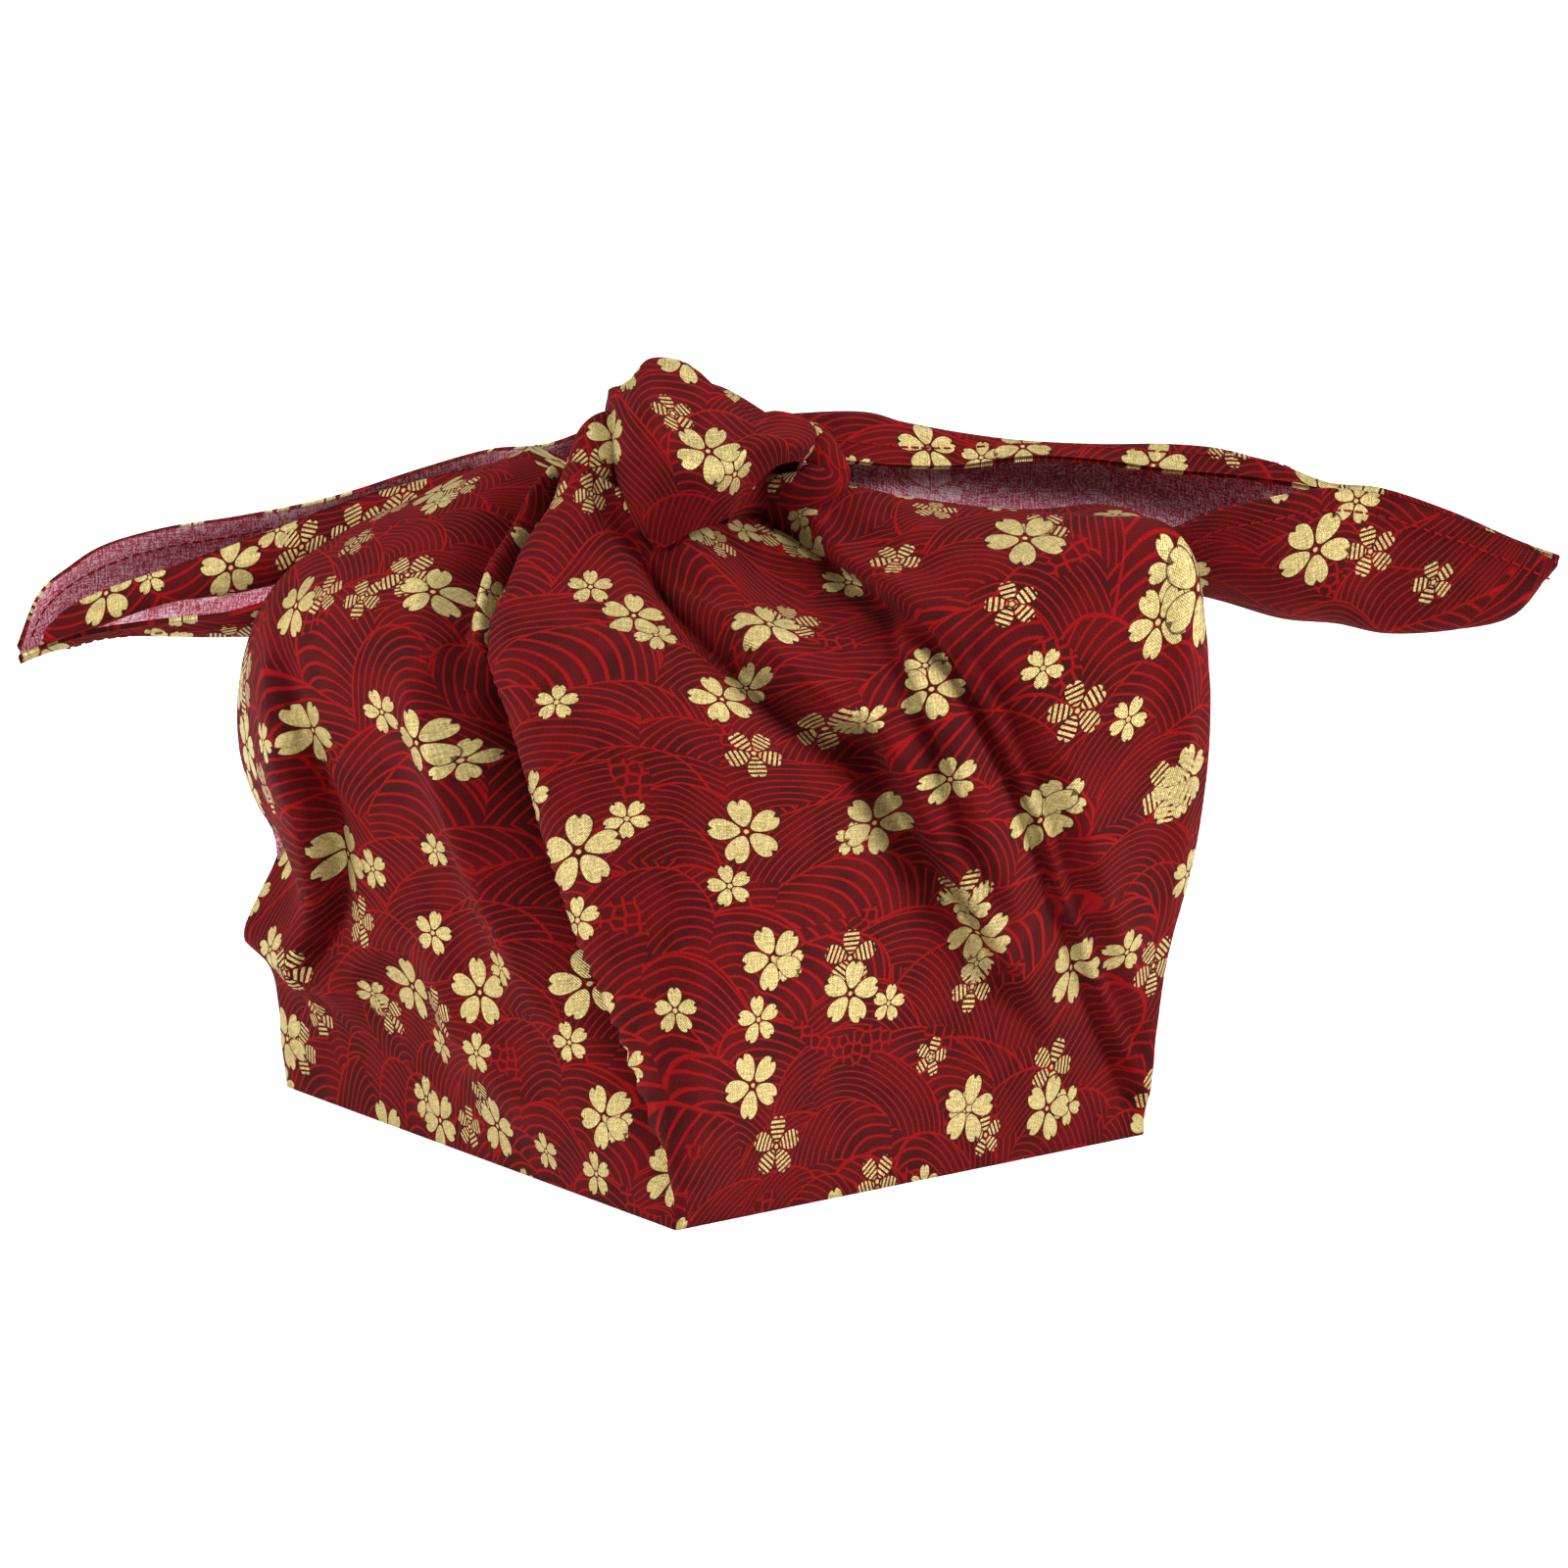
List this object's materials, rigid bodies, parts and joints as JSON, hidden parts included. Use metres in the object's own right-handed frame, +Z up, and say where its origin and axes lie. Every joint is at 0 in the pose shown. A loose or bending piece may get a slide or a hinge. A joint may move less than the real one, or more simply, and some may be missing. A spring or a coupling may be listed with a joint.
{
  "type": "wrapping cloth",
  "caption": "Square patterned cotton cloth tied in a knot around a hidden square-bottomed box, its two free ends spread left and right.",
  "frame": {"origin": "middle of the flat base, on the surface that the bundle stands on", "axes": "+Z up, +X along the two free ends towards the longer one, -Y towards the side seen in the picture"},
  "size_m": [0.3014, 0.1774, 0.1511],
  "materials": {
    "wrapping_cloth": "printed cotton, dull, with soft gold blossoms"
  },
  "bodies": {
    "root": {"wrapping_cloth": "wrapping_cloth"}
  },
  "joints": []
}
